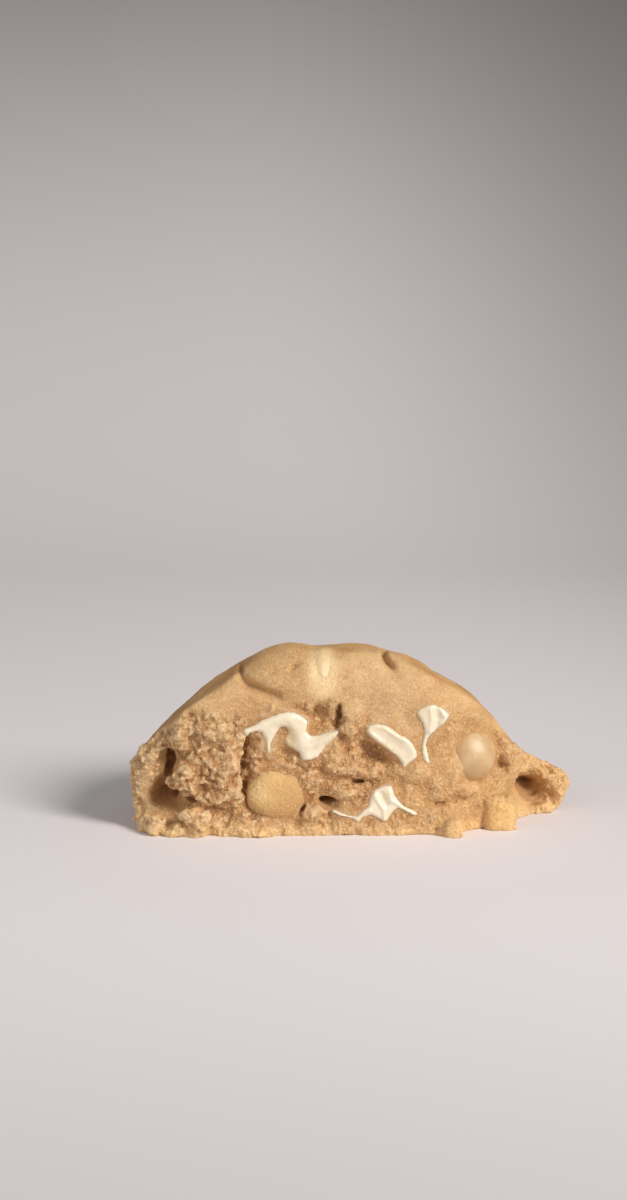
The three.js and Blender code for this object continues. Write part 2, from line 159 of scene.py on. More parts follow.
# Cracks and folds: half width, depth and a line of x, z places
GROOVES = {
    "crack beside the left kernel": (0.36, 3.0, (
        (-23.8, 24.0), (-24.8, 22.6), (-25.0, 20.0), (-25.7, 15.4), (-25.4, 12.8), (-25.0, 9.6),
        (-24.2, 6.4))),
    "crevice beside the lump": (0.4, 2.6, ((-3.2, 30.8), (-4.0, 29.2), (-3.5, 27.6), (-4.4, 25.4))),
    "fold of the left crown": (0.65, 1.6, (
        (-26.9, 39.2), (-26.1, 36.8), (-24.7, 35.4), (-22.3, 34.5), (-20.0, 33.5), (-17.2, 32.4))),
    "notch of the crown": (0.5, 1.9, ((6.4, 43.4), (7.2, 41.0), (8.6, 38.9))),
    "short crack of the crown": (0.3, 0.9, ((-15.1, 38.2), (-14.2, 39.3), (-12.8, 40.3))),
    "pit of the crown": (0.35, 0.7, ((-12.8, 36.3), (-12.4, 36.0))),
    "second pit of the crown": (0.3, 0.6, ((-20.4, 37.8), (-18.0, 38.3))),
    "crack above the left kernel": (0.3, 0.8, ((-24.6, 18.2), (-21.6, 17.9), (-19.0, 17.6))),
    "second crack above it": (0.3, 0.8, ((-16.2, 18.2), (-13.6, 17.0), (-10.8, 15.4))),
}

# No kernel and no dough stands out further than these y on the torn face
FLATTEST_KERNEL = -29.6
FLATTEST_DOUGH = -31.6

# Stretches of torn face that are smeared smooth: x, z, radius and how much relief they lose
SMOOTH_STRETCHES = (
    (14.5, 17.5, 6.0, 0.6),
    (12.0, 27.5, 7.0, 0.8),
    (-19.0, 19.5, 5.0, 0.7),
    (-28.0, 17.0, 2.6, 0.5),
    (-46.0, 8.6, 3.8, 0.6),
    (40.6, 6.4, 4.0, 0.3),
    (34.4, 4.0, 4.0, 0.85),
    (22.9, 1.2, 2.0, 0.6),
    (27.5, 13.0, 3.5, 0.4),
)


def at(x, y, z):
    """A place on the torn face, in metres in the model's frame."""
    return Vector((FACE_ORIGIN + (x, y, z)) * MM)


def deselect_all():
    if bpy.context.mode != "OBJECT":
        bpy.ops.object.mode_set(mode="OBJECT")
    bpy.ops.object.select_all(action="DESELECT")


def work_on(piece):
    deselect_all()
    piece.select_set(True)
    bpy.context.view_layer.objects.active = piece


def rename(piece, name):
    piece.name = name
    piece.data.name = name


def shade_smoothly(piece):
    work_on(piece)
    bpy.ops.object.shade_smooth()


def apply_modifier(piece, kind, **settings):
    """Adds one modifier with these settings and applies it."""
    work_on(piece)
    modifier = piece.modifiers.new(kind.lower(), kind)
    for name, value in settings.items():
        setattr(modifier, name, value)
    bpy.ops.object.modifier_apply(modifier=modifier.name)


def rebuild(piece, voxel, smoothing=0):
    """Makes a mesh anew from voxels of this size, with a few rounds of smoothing."""
    apply_modifier(piece, "REMESH", mode="VOXEL", voxel_size=voxel * MM)
    if smoothing:
        apply_modifier(piece, "SMOOTH", factor=0.5, iterations=smoothing)


def make_camera():
    """A long lens, slightly above the cookie and looking a little down on it."""
    distance = 530
    pitch = math.radians(9)
    target = at(-9.45, -28.5, 55.4)
    bpy.ops.object.camera_add()
    eye = bpy.context.object
    eye.name = "camera"
    eye.data.lens = 70
    eye.data.sensor_width = 36
    eye.data.sensor_fit = "AUTO"
    eye.location = target + Vector((0, -math.cos(pitch), math.sin(pitch))) * distance * MM
    eye.rotation_euler = (math.pi / 2 - pitch, 0, 0)
    eye.data.clip_start = 0.01
    eye.data.clip_end = 20
    bpy.context.scene.camera = eye


class Socket:
    """One output socket, so that the maths of nodes can be written as Python expressions."""

    def __init__(self, tree, output):
        self.tree = tree
        self.output = output

    def _maths(self, operation, *values):
        return node(self.tree, "ShaderNodeMath", {"operation": operation}, values)

    def __add__(self, other):
        return self._maths("ADD", self, other)

    __radd__ = __add__

    def __sub__(self, other):
        return self._maths("SUBTRACT", self, other)

    def __rsub__(self, other):
        return self._maths("SUBTRACT", other, self)

    def __mul__(self, other):
        return self._maths("MULTIPLY", self, other)

    __rmul__ = __mul__

    def smooth(self, low, high):
        """0 below low, 1 above high and a smooth rise between them."""
        return node(self.tree, "ShaderNodeMapRange",
                    {"interpolation_type": "SMOOTHSTEP"}, (self, low, high, 0.0, 1.0))


def node(tree, kind, settings=None, values=(), output=0):
    """Adds a node: its settings first, then the values or links of its sockets."""
    made = tree.nodes.new(kind)
    for name, value in (settings or {}).items():
        setattr(made, name, value)
    pairs = values.items() if isinstance(values, dict) else enumerate(values)
    for key, value in pairs:
        socket = made.inputs[key]
        if isinstance(value, Socket):
            tree.links.new(value.output, socket)
        else:
            socket.default_value = value
    return Socket(tree, made.outputs[output])


def mixed(tree, share, low, high):
    """The colour low where share is 0 and high where it is 1."""
    made = tree.nodes.new("ShaderNodeMix")
    made.data_type = "RGBA"
    made.clamp_factor = True
    for index, value in ((MIX_SHARE, share), (MIX_LOW, low), (MIX_HIGH, high)):
        socket = made.inputs[index]
        if isinstance(value, Socket):
            tree.links.new(value.output, socket)
        elif isinstance(value, tuple):
            socket.default_value = (*value, 1.0)
        else:
            socket.default_value = value
    return Socket(tree, made.outputs[MIX_COLOUR])


def from_display(red, green, blue):
    """A colour as a screen shows it, 0 to 255, as the linear values that shaders use."""
    def linear(value):
        share = value / 255
        return share / 12.92 if share <= 0.04045 else ((share + 0.055) / 1.055) ** 2.4
    return (linear(red), linear(green), linear(blue))


def new_material(name):
    """A material, its tree, its shader and the place on the object, to be finished."""
    made = bpy.data.materials.new(name)
    made.use_nodes = True
    tree = made.node_tree
    shader = tree.nodes["Principled BSDF"]
    place = node(tree, "ShaderNodeTexCoord", output=OBJECT_PLACE)
    return made, tree, shader, place


def feed(shader, name, value):
    """Links a value or a colour to one socket of the shader."""
    value.tree.links.new(value.output, shader.inputs[name])


def coordinates(tree, place):
    """The x, y and z of a place, in metres."""
    split = node(tree, "ShaderNodeSeparateXYZ", {}, (place,)).output.node
    return [Socket(tree, output) for output in split.outputs]


def speckle(tree, place, wavelength, detail=2.0, roughness=0.5):
    """Noise from 0 to 1 whose features are about this many millimetres apart."""
    return node(tree, "ShaderNodeTexNoise", {"noise_dimensions": "3D"},
                {"Vector": place, "Scale": 1 / (wavelength * MM), "Detail": detail,
                 "Roughness": roughness})


def spot(tree, place, centre, squeeze, radius, rim):
    """1 within this radius of a place on the torn face, falling to 0 at the rim, in millimetres.

    A squeeze below 1 makes the spot longer that way.
    """
    away = node(tree, "ShaderNodeVectorMath", {"operation": "SUBTRACT"}, (place, at(*centre)))
    away = node(tree, "ShaderNodeVectorMath", {"operation": "MULTIPLY"}, (away, squeeze))
    length = node(tree, "ShaderNodeVectorMath", {"operation": "LENGTH"}, (away,), VECTOR_LENGTH)
    return 1 - (length * (1 / MM)).smooth(radius, rim)


def surface_value(tree, name):
    """A value that keep_value stored on the mesh."""
    return node(tree, "ShaderNodeAttribute", {"attribute_name": name}, output=ATTRIBUTE_VALUE)


def bumped(tree, shader, height, strength, distance):
    feed(shader, "Normal", node(tree, "ShaderNodeBump", {}, {
        "Strength": strength, "Distance": distance * MM, "Height": height}))


def lets_light_in(shader, weight, radius, scale):
    """Light spreads a little way under the surface."""
    shader.inputs["Subsurface Weight"].default_value = weight
    shader.inputs["Subsurface Radius"].default_value = radius
    shader.inputs["Subsurface Scale"].default_value = scale * MM


def copy_of(*names):
    """The CAD nodes of these names as one new mesh with its corners merged."""
    deselect_all()
    for name in names:
        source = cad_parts[name]
        twin = source.copy()
        twin.data = source.data.copy()
        twin.parent = None
        twin.animation_data_clear()
        bpy.context.scene.collection.objects.link(twin)
        twin.hide_set(False)
        twin.hide_render = False
        twin.select_set(True)
        bpy.context.view_layer.objects.active = twin
    bpy.ops.object.join()
    made = bpy.context.object
    made.data.materials.clear()
    bpy.ops.object.mode_set(mode="EDIT")
    bpy.ops.mesh.select_all(action="SELECT")
    bpy.ops.mesh.remove_doubles(threshold=0.01 * MM)
    bpy.ops.object.mode_set(mode="OBJECT")
    return made


def read_all(items, name, width, kind=float):
    """One property of all vertices or edges of a mesh, a row for each."""
    values = np.empty(len(items) * width, dtype=kind)
    items.foreach_get(name, values)
    return values.reshape(-1, width)


def vertex_places(mesh):
    return read_all(mesh.vertices, "co", 3)


def set_places(mesh, places):
    mesh.vertices.foreach_set("co", places.ravel())
    mesh.update()


def vertex_normals(mesh):
    return read_all(mesh.vertices, "normal", 3)


def on_the_face(mesh):
    """Where the vertices lie, in millimetres as seen on the torn face."""
    return vertex_places(mesh) / MM - FACE_ORIGIN


def set_on_the_face(mesh, places):
    """Moves the vertices to places in millimetres, as seen on the torn face."""
    set_places(mesh, (places + FACE_ORIGIN) * MM)


def edge_ends(mesh):
    """The two vertices of each edge."""
    return read_all(mesh.edges, "vertices", 2, np.int64)


def spread_out(values, ends, rounds):
    """Each value moved to the middle of its neighbours', this many times over."""
    count = np.bincount(ends.ravel(), minlength=len(values)).astype(float)
    for _ in range(rounds):
        total = np.zeros_like(values)
        for column in range(values.shape[1]):
            total[:, column] = (
                np.bincount(ends[:, 0], values[ends[:, 1], column], len(values))
                + np.bincount(ends[:, 1], values[ends[:, 0], column], len(values)))
        values = (values + total / count[:, None]) / 2
    return values


def broad_normals(mesh, rounds):
    """Normals of the surface with its lumps and pits smoothed away."""
    even = mesh.copy()
    set_places(even, spread_out(vertex_places(mesh), edge_ends(mesh), rounds))
    normals = vertex_normals(even)
    bpy.data.meshes.remove(even)
    return normals


def smooth_step(values, low, high):
    """0 at the low value, 1 at the high one and a smooth rise or fall between them."""
    share = np.clip((values - low) / (high - low), 0, 1)
    return share * share * (3 - 2 * share)


def torn_share(mesh, rounds):
    """1 where the surface is torn crumb and 0 where it is baked crust, for each vertex.

    Torn crumb faces the front, lies below the crust's ragged edge and close to the tear.
    """
    places = on_the_face(mesh)
    normals = broad_normals(mesh, rounds)
    facing = 0.45 * np.abs(normals[:, 0]) - normals[:, 1]
    edge = np.interp(places[:, 0], CRUST_EDGE_X, CRUST_EDGE_Z)
    ragged = 0.8 * np.sin(places[:, 0] * 0.9) + 0.5 * np.sin(places[:, 0] * 2.3 + 1.0)
    below = 1 - smooth_step(places[:, 2] - edge - ragged, -1.2, 1.2)
    behind = places[:, 1] - np.interp(places[:, 0], TEAR_LINE_X, TEAR_LINE_Y)
    return smooth_step(facing, 0.3, 0.6) * (1 - smooth_step(behind, 3.0, 5.0)) * below


def paint_group(piece, name, weights):
    """A vertex group with these weights, in even steps."""
    finest = 50
    group = piece.vertex_groups.new(name=name)
    steps = np.round(weights * finest).astype(int)
    for step in range(1, finest + 1):
        chosen = np.flatnonzero(steps == step).tolist()
        if chosen:
            group.add(chosen, step / finest, "REPLACE")


def keep_value(piece, name, values):
    """Stores a value for each vertex, for the materials and for scattering."""
    attribute = piece.data.attributes.new(name, "FLOAT", "POINT")
    attribute.data.foreach_set("value", values.astype(np.float32))


def relief_texture(name, wavelength, basis="ORIGINAL_PERLIN", depth=2):
    """Noise for displacing, its features about this many millimetres apart."""
    made = bpy.data.textures.new(name, "CLOUDS")
    made.noise_scale = wavelength * MM
    made.noise_basis = basis
    made.noise_depth = depth
    return made


def displace(piece, texture, height, group="", middle=0.5):
    """Moves the surface in and out by a texture, this many millimetres from lowest to highest."""
    apply_modifier(piece, "DISPLACE", texture=texture, texture_coords="LOCAL", strength=height * MM,
                   mid_level=middle, vertex_group=group)


def raise_surface(piece, heights):
    """Moves each vertex outwards by its height in millimetres."""
    mesh = piece.data
    set_places(mesh, vertex_places(mesh) + vertex_normals(mesh) * heights[:, None] * MM)


def pebble(place, half_sizes, turn, roundness=1.0):
    """A lump of these half sizes, turned clockwise as seen from the front, boxy if less round."""
    bpy.ops.mesh.primitive_ico_sphere_add(subdivisions=4, radius=MM, location=(0, 0, 0))
    made = bpy.context.object
    bpy.ops.object.mode_set(mode="EDIT")
    bpy.ops.transform.resize(value=half_sizes)
    bpy.ops.object.mode_set(mode="OBJECT")
    slant = math.radians(turn)
    places = vertex_places(made.data)
    reach = np.array(half_sizes) * MM
    places = np.sign(places) * reach * (np.abs(places) / reach) ** roundness
    turned = places.copy()
    turned[:, 0] = places[:, 0] * math.cos(slant) + places[:, 2] * math.sin(slant)
    turned[:, 2] = places[:, 2] * math.cos(slant) - places[:, 0] * math.sin(slant)
    set_places(made.data, turned + np.array(place))
    return made


def joined(pieces):
    deselect_all()
    for piece in pieces:
        piece.select_set(True)
    bpy.context.view_layer.objects.active = pieces[0]
    bpy.ops.object.join()
    return bpy.context.object


def search_tree(piece):
    return BVHTree.FromObject(piece, bpy.context.evaluated_depsgraph_get())


def front_depth(surface, x, z):
    """How deep the surface lies behind this place, as seen from the front, in metres."""
    well_in_front = -70
    hit = surface.ray_cast(at(x, well_in_front, z), Vector((0, 1, 0)))[0]
    return hit.y


def hold_back(piece, front):
    """Bends what stands out further than this y of the torn face softly back to it."""
    sharpness = 2
    places = on_the_face(piece.data)
    places[:, 1] = front + np.logaddexp(0, (places[:, 1] - front) * sharpness) / sharpness
    set_on_the_face(piece.data, places)


def dough_core():
    """The cookie with its pockets filled behind the kernels and smears, freed from facets."""
    kernels = copy_of(*(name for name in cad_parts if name.startswith("macadamia")))
    smears = copy_of(*(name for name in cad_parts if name.startswith("white_chocolate")))
    hold_back(kernels, FLATTEST_KERNEL)
    for plug, fatter, deeper in ((kernels, 0.3, 0.75), (smears, 0.3, 1.15)):
        work_on(plug)
        bpy.ops.object.mode_set(mode="EDIT")
        bpy.ops.mesh.select_all(action="SELECT")
        bpy.ops.transform.shrink_fatten(value=fatter * MM)
        bpy.ops.transform.translate(value=(0, deeper * MM, 0))
        bpy.ops.object.mode_set(mode="OBJECT")
    core = copy_of("cookie")
    core = joined([core, kernels, smears])
    rename(core, "cookie_dough")
    rebuild(core, CORE_VOXEL, 8)
    return core


def make_ragged(piece, coarse, fine):
    """Breaks a smooth form up by these heights in millimetres."""
    displace(piece, relief_texture("ragged", 1.9), coarse)
    displace(piece, relief_texture("finely ragged", 0.8), fine)


def add_lumps(core, surface):
    """Sets each lump on the surface and roughens them all."""
    lumps = []
    for table, roundness in ((LUMPS, 1.0), (BLOCKS, 0.62)):
        for x, z, stands_out, half_width, half_depth, half_height, turn in table.values():
            middle = at(x, 0, z)
            middle.y = front_depth(surface, x, z) + (half_depth - stands_out) * MM
            lumps.append(pebble(middle, (half_width, half_depth, half_height), turn, roundness))
    lumps = joined(lumps)
    make_ragged(lumps, 1.2, 0.5)
    return joined([core, lumps])


def press_dents(core):
    """Pushes the torn face in softly, each dent deepest in its middle."""
    places = on_the_face(core.data)
    in_front = smooth_step(-broad_normals(core.data, BROAD_ROUNDS)[:, 1], 0.0, 0.4)
    for x, z, depth, half_width, half_height, turn in DENTS.values():
        slant = math.radians(turn)
        across = (places[:, 0] - x) * math.cos(slant) - (places[:, 2] - z) * math.sin(slant)
        up = (places[:, 0] - x) * math.sin(slant) + (places[:, 2] - z) * math.cos(slant)
        reach = (across / half_width) ** 2 + (up / half_height) ** 2
        places[:, 1] += depth * np.exp(-reach) * in_front
    set_on_the_face(core.data, places)


def hole(surface, x, z, half_width, half_depth, half_height, turn):
    """The form to be taken out for one hole, its middle on the surface."""
    middle = at(x, 0, z)
    middle.y = front_depth(surface, x, z)
    return pebble(middle, (half_width, half_depth, half_height), turn)


def carve(core, hollows, ragged):
    """Takes these hollows out of the dough, with walls this ragged."""
    hollows = joined(hollows)
    make_ragged(hollows, ragged * 2, ragged)
    rebuild(hollows, RELIEF_VOXEL)
    apply_modifier(core, "BOOLEAN", object=hollows, operation="DIFFERENCE", solver="MANIFOLD")
    bpy.data.objects.remove(hollows)


def away_from(line, places):
    """How far each place is from a line of x, z places, and how far along the line, 0 to 1."""
    spans = [math.dist(start, end) for start, end in zip(line, line[1:])]
    nearest = np.full(len(places), np.inf)
    along = np.zeros(len(places))
    passed = 0
    for start, end, span in zip(line, line[1:], spans):
        step = np.subtract(end, start)
        share = np.clip((places - start) @ step / span ** 2, 0, 1)
        distance = np.linalg.norm(places - start - share[:, None] * step, axis=1)
        closer = distance < nearest
        nearest[closer] = distance[closer]
        along[closer] = (passed + share[closer] * span) / sum(spans)
        passed += span
    return nearest, along


def press_grooves(core):
    """Cracks and folds of the torn face and the crown, fading at both ends.

    The narrower a crack is, the more its line wanders.
    """
    widest_winding = 0.55
    outwards = broad_normals(core.data, BROAD_ROUNDS)
    places = on_the_face(core.data)
    in_front = smooth_step(-outwards[:, 1], -0.5, -0.1) * smooth_step(-places[:, 1], 11, 17)
    winding = np.sin(places[:, 2] * 1.9) + 0.7 * np.sin(places[:, 0] * 3.1)
    depths = np.zeros(len(places))
    for half_width, depth, line in GROOVES.values():
        wander = max(0, widest_winding - half_width) * winding
        away, along = away_from(line, places[:, (0, 2)] + wander[:, None] * (1.0, 0.6))
        strength = np.exp(-(away / half_width) ** 2) * np.sqrt(np.sin(np.pi * along * 0.9 + 0.15))
        depths = np.maximum(depths, depth * strength)
    places -= outwards * (depths * in_front)[:, None]
    set_on_the_face(core.data, places)


def patchiness(places, wavelength, field):
    """Slow noise from -1 to 1 at places in millimetres. Each whole number is another field."""
    shift = Vector((field * 17.3, field * 5.1, field * 9.7))
    return np.array([noise.noise(Vector(place) / wavelength + shift) for place in places])


def crust_heights(places, normals):
    """Swells and winding cracks of the crust over the top and the back, in millimetres."""
    above = smooth_step(normals[:, 2], -0.1, 0.3) * smooth_step(places[:, 1], -12, -2)
    swells = patchiness(places, 11.0, 8) * 1.6 + patchiness(places, 5.5, 11) * 0.6
    winding = patchiness(places, 13.0, 9) + 0.22 * patchiness(places, 3.2, 13)
    open_here = smooth_step(patchiness(places, 12.0, 10), -0.05, 0.25)
    open_here *= smooth_step(patchiness(places, 4.0, 12), -0.35, 0.25)
    narrow = np.exp(-(winding / 0.03) ** 2) * 0.8
    wide = np.exp(-(winding / 0.14) ** 2) * 0.4
    return (swells - (narrow + wide) * open_here) * above


def clear_of(surface, places, near, far):
    """0 inside a surface or within the near distance of it, and 1 beyond the far one."""
    gaps = np.full(len(places), far)
    for index, place in enumerate(places):
        nearest, normal, _, distance = surface.find_nearest(place, far * MM)
        if nearest is not None:
            outside = (Vector(place) - nearest).dot(normal) > 0
            gaps[index] = distance / MM if outside else 0
    return smooth_step(gaps, near, far)


def roughness_of(core, fillings, near, far):
    """How rough the torn dough is at each vertex: none on crust or this near to a filling."""
    places = on_the_face(core.data)
    rough = torn_share(core.data, RELIEF_ROUNDS)
    rough *= clear_of(fillings, vertex_places(core.data), near, far)
    rough *= np.interp(places[:, 0], ROUGHNESS_X, ROUGHNESS_SHARE)
    for x, z, radius, loss in SMOOTH_STRETCHES:
        away = np.hypot(places[:, 0] - x, places[:, 2] - z)
        rough *= 1 - loss * (1 - smooth_step(away, radius * 0.6, radius * 1.2))
    return rough


def even_out_crust(core):
    """Smooths the crust and leaves the torn dough as it is."""
    rounds = 5
    places = vertex_places(core.data)
    even = spread_out(places, edge_ends(core.data), rounds)
    crust = 1 - torn_share(core.data, RELIEF_ROUNDS)
    set_places(core.data, places + (even - places) * crust[:, None])


def torn_steps(places):
    """Torn dough breaks away in steps: their height, from -1 to 1, and where their edges are."""
    slow = patchiness(places, 3.8, 4) + 0.35 * patchiness(places, 1.3, 5)
    slow += 0.15 * patchiness(places, 0.6, 6)
    heights = np.zeros(len(slow))
    edges = np.zeros(len(slow))
    for level in (-0.22, 0.14):
        heights += smooth_step(slow, level - 0.08, level + 0.08)
        edges += np.exp(-((slow - level) / 0.1) ** 2)
    return heights - 1, np.minimum(edges, 1)


def one_grain(radius, segments, rings):
    """One angular crumb, to be scattered.

    Its faces are sorted by their distance from a place off to one side, because a new sphere
    has them in another order in each run, and everything after it would change with them.
    """
    bpy.ops.mesh.primitive_uv_sphere_add(segments=segments, ring_count=rings, radius=radius * MM,
                                         location=(0, 0, 0))
    grain = bpy.context.object
    bpy.context.scene.cursor.location = Vector((1.1, 2.3, 3.7)) * MM
    bpy.ops.object.mode_set(mode="EDIT")
    bpy.ops.mesh.select_all(action="SELECT")
    bpy.ops.mesh.sort_elements(type="CURSOR_DISTANCE", elements={"VERT", "EDGE", "FACE"})
    bpy.ops.object.mode_set(mode="OBJECT")
    displace(grain, relief_texture("grain", radius, depth=0), radius * 1.2)
    return grain


def scatter(piece, grain, density, smallest, largest, group, seed, keep_piece=True):
    """Copies of a grain set all over a piece, in one mesh.

    The density is grains to a square millimetre where the group's weight is 1, and the sizes
    are shares of the grain's own. Without keep_piece only the copies are left.
    """
    tree = bpy.data.node_groups.new("scatter", "GeometryNodeTree")
    tree.interface.new_socket("Geometry", in_out="INPUT", socket_type="NodeSocketGeometry")
    tree.interface.new_socket("Geometry", in_out="OUTPUT", socket_type="NodeSocketGeometry")
    start = node(tree, "NodeGroupInput")
    weight = node(tree, "GeometryNodeInputNamedAttribute", {"data_type": "FLOAT"}, {"Name": group},
                  "Attribute")
    points = node(tree, "GeometryNodeDistributePointsOnFaces", {"distribute_method": "RANDOM"},
                  {"Mesh": start, "Density": weight * (density / MM ** 2), "Seed": seed}, "Points")
    source = node(tree, "GeometryNodeObjectInfo", {}, {"Object": grain}, "Geometry")
    turn = node(tree, "FunctionNodeRandomValue", {"data_type": "FLOAT_VECTOR"},
                {LARGEST_VECTOR: (math.tau, math.tau, math.tau), "Seed": seed + 1}, "Value")
    size = node(tree, "FunctionNodeRandomValue", {"data_type": "FLOAT"},
                {SMALLEST_NUMBER: smallest, LARGEST_NUMBER: largest, "Seed": seed + 2},
                RANDOM_NUMBER)
    copies = node(tree, "GeometryNodeInstanceOnPoints", {},
                  {"Points": points, "Instance": source, "Rotation": turn, "Scale": size})
    real = node(tree, "GeometryNodeRealizeInstances", {}, (copies,))
    join = node(tree, "GeometryNodeJoinGeometry", {}, (real,))
    if keep_piece:
        tree.links.new(start.output, join.output.node.inputs[0])
    end = tree.nodes.new("NodeGroupOutput")
    tree.links.new(join.output, end.inputs[0])
    apply_modifier(piece, "NODES", node_group=tree)
    bpy.data.node_groups.remove(tree)
    bpy.data.objects.remove(grain)


def keep_hollows(piece):
    """Stores how deep each place lies in a pit or crack, from fine to broad, for the bump and for
    the painted shade and highlights of the dough's colours.
    """
    mesh = piece.data
    places = vertex_places(mesh)
    ends = edge_ends(mesh)
    normals = vertex_normals(mesh)
    for name, rounds in (("pit", 5), ("hollow", 50)):
        even = spread_out(places, ends, rounds)
        depth = np.einsum("ij,ij->i", even - places, normals) / MM
        keep_value(piece, name, spread_out(depth[:, None], ends, 1)[:, 0])


def triangles_of(piece):
    return sum(len(face.vertices) - 2 for face in piece.data.polygons)


def keep_above_floor(piece):
    places = vertex_places(piece.data)
    places[:, 2] = np.maximum(places[:, 2], 0)
    set_places(piece.data, places)


def set_on_floor(core):
    """Sinks the lowest part until it meets the floor all round."""
    sink = 1.2
    places = vertex_places(core.data)
    places[:, 2] -= sink * MM * (1 - smooth_step(places[:, 2] / MM, 1.0, 6.0))
    set_places(core.data, places)
    keep_above_floor(core)


def surface_of_fillings():
    """Every kernel and smear as one surface to measure from."""
    fillings = copy_of(*(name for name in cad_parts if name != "cookie"))
    surface = search_tree(fillings)
    bpy.data.objects.remove(fillings)
    return surface


def broken_form():
    """The dough with its dents, lumps and holes, before any relief."""
    core = dough_core()
    undented = search_tree(core)
    press_dents(core)
    dented = search_tree(core)
    core = add_lumps(core, undented)
    rebuild(core, LUMPS_VOXEL, 2)
    carve(core, [hole(dented, *sizes) for sizes in HOLES.values()], 0.9)
    rebuild(core, CARVED_VOXEL, 2)
    return core


def add_relief(core, fillings):
    """Waves, steps, clumps and crumbs of the torn dough, and the skin and cracks of the crust."""
    rough = roughness_of(core, fillings, 0.2, 1.4)
    heights, edges = torn_steps(on_the_face(core.data))
    paint_group(core, "rough", rough)
    paint_group(core, "step_edges", rough * edges)
    paint_group(core, "crust", 1 - torn_share(core.data, RELIEF_ROUNDS))
    displace(core, relief_texture("torn waves", 5.0), 2.0, "rough")
    raise_surface(core, heights * rough * 0.7)
    clumps = relief_texture("torn clumps", 3.2, "VORONOI_F2_F1", 1)
    displace(core, clumps, 1.35, "rough", middle=0.3)
    crumbs = relief_texture("torn crumbs", 1.3, "VORONOI_F2_F1", 0)
    displace(core, crumbs, 0.35, "rough", middle=0.3)
    displace(core, relief_texture("crust waves", 4.5), 0.5, "crust")
    displace(core, relief_texture("crust grain", 0.9, "VORONOI_F1", 1), -0.09, "crust")
    normals = broad_normals(core.data, BROAD_ROUNDS)
    raise_surface(core, crust_heights(on_the_face(core.data), normals))
    press_grooves(core)
    scatter(core, one_grain(0.4, 6, 4), 1.1, 0.6, 1.3, "step_edges", SEED)
    scatter(core, one_grain(0.24, 5, 3), 1.6, 0.6, 1.3, "step_edges", SEED + 3)
    scatter(core, one_grain(0.24, 5, 3), 0.7, 0.6, 1.3, "rough", SEED + 5)
    rebuild(core, RELIEF_VOXEL, 1)
    even_out_crust(core)
    hold_back(core, FLATTEST_DOUGH)


def keep_surface_values(core, fillings):
    """Where the dough is torn, baked or hollow, and where loose grains may lie."""
    keep_value(core, "torn", torn_share(core.data, FINISHED_ROUNDS))
    broad = broad_normals(core.data, FINISHED_ROUNDS)
    behind = smooth_step(broad[:, 1], -0.7, -0.1)
    keep_value(core, "baked", behind * smooth_step(broad[:, 2], -0.6, 0.2))
    keep_hollows(core)
    facing = smooth_step(vertex_normals(core.data)[:, 1], 0.6, -0.1)
    edges = torn_steps(on_the_face(core.data))[1]
    rough = np.sqrt(roughness_of(core, fillings, 0.3, 0.7))
    keep_value(core, "grainy", rough * facing * (0.45 + 0.55 * edges))


def make_dough():
    fillings = surface_of_fillings()
    core = broken_form()
    add_relief(core, fillings)
    set_on_floor(core)
    core.vertex_groups.clear()
    apply_modifier(core, "DECIMATE", ratio=DOUGH_TRIANGLES / triangles_of(core),
                   use_collapse_triangulate=True)
    keep_above_floor(core)
    keep_surface_values(core, fillings)
    shade_smoothly(core)
    return core


def make_grains(carrier, name, radius, density, group, seed):
    """Loose grains lying half sunk in the torn dough or on a kernel, all in one piece."""
    grains = carrier.copy()
    grains.data = carrier.data.copy()
    rename(grains, name)
    bpy.context.scene.collection.objects.link(grains)
    sunk = 0.55 * radius
    raise_surface(grains, np.full(len(grains.data.vertices), -sunk))
    scatter(grains, one_grain(radius, 4, 2), density, 0.6, 1.4, group, seed, keep_piece=False)
    keep_value(grains, "loose", np.ones(len(grains.data.vertices)))
    keep_above_floor(grains)
    shade_smoothly(grains)
    return grains


def sandy(tree, place):
    """The fine grain of baked dough: its height, and a value for each grain."""
    grain = node(tree, "ShaderNodeTexVoronoi", {"feature": "F1"},
                 {"Vector": place, "Scale": 1 / (0.8 * MM), "Randomness": 1.0})
    dust = speckle(tree, place, 0.36, 2)
    return dust * 1.2 - grain * 0.3, speckle(tree, place, 0.6, 2, 0.7)


class DoughSurface:
    """What the dough's colours go by: the values kept on the mesh, noise and the place."""

    def __init__(self, tree, place):
        self.tree = tree
        self.place = place
        self.torn, self.baked, self.pit, self.hollow, self.loose = (
            surface_value(tree, name) for name in ("torn", "baked", "pit", "hollow", "loose"))
        self.broad = speckle(tree, place, 9, 3)
        self.mottle = speckle(tree, place, 2.2, 3)
        self.across, _, self.height = (axis * (1 / MM) for axis in coordinates(tree, place))

    def spot(self, centre, squeeze, radius, rim):
        return spot(self.tree, self.place, centre, squeeze, radius, rim)

    def blend(self, share, low, high):
        """From the low colour to the high one, both as a screen shows them."""
        return mixed(self.tree, share, from_display(*low), from_display(*high))

    def tinted(self, colour, share, *shade):
        """This colour with a share of another shade."""
        return mixed(self.tree, share, colour, from_display(*shade))


